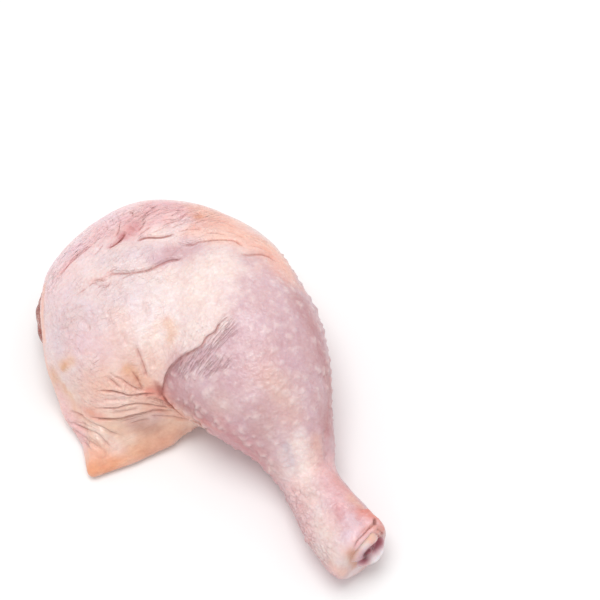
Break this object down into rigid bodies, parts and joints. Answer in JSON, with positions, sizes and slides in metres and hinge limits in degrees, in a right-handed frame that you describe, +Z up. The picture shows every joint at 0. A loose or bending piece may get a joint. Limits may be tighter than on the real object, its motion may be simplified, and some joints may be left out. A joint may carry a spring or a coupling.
{
  "type": "raw chicken leg quarter",
  "caption": "Raw chicken leg quarter with its skin on: joined thigh and drumstick, lying skin side up, with a flap of loose skin at the back of the thigh and the bone end showing at the hock.",
  "frame": {"origin": "middle of the base of the bounding box, on the surface that the leg lies on", "axes": "+X from the hip cut towards the knee's outer side, +Y from the hock to the far edge of the thigh, +Z up"},
  "size_m": [0.1382, 0.1582, 0.053],
  "materials": {
    "skin": "moist raw chicken skin, pale pink with peach and mauve parts",
    "cartilage": "wet white cartilage round a dark red slot",
    "raw_meat": "wet red-brown raw meat with a fine grain"
  },
  "bodies": {
    "root": {"leg_quarter": "skin", "shank_bone": "cartilage", "thigh_meat": "raw_meat"}
  },
  "joints": []
}
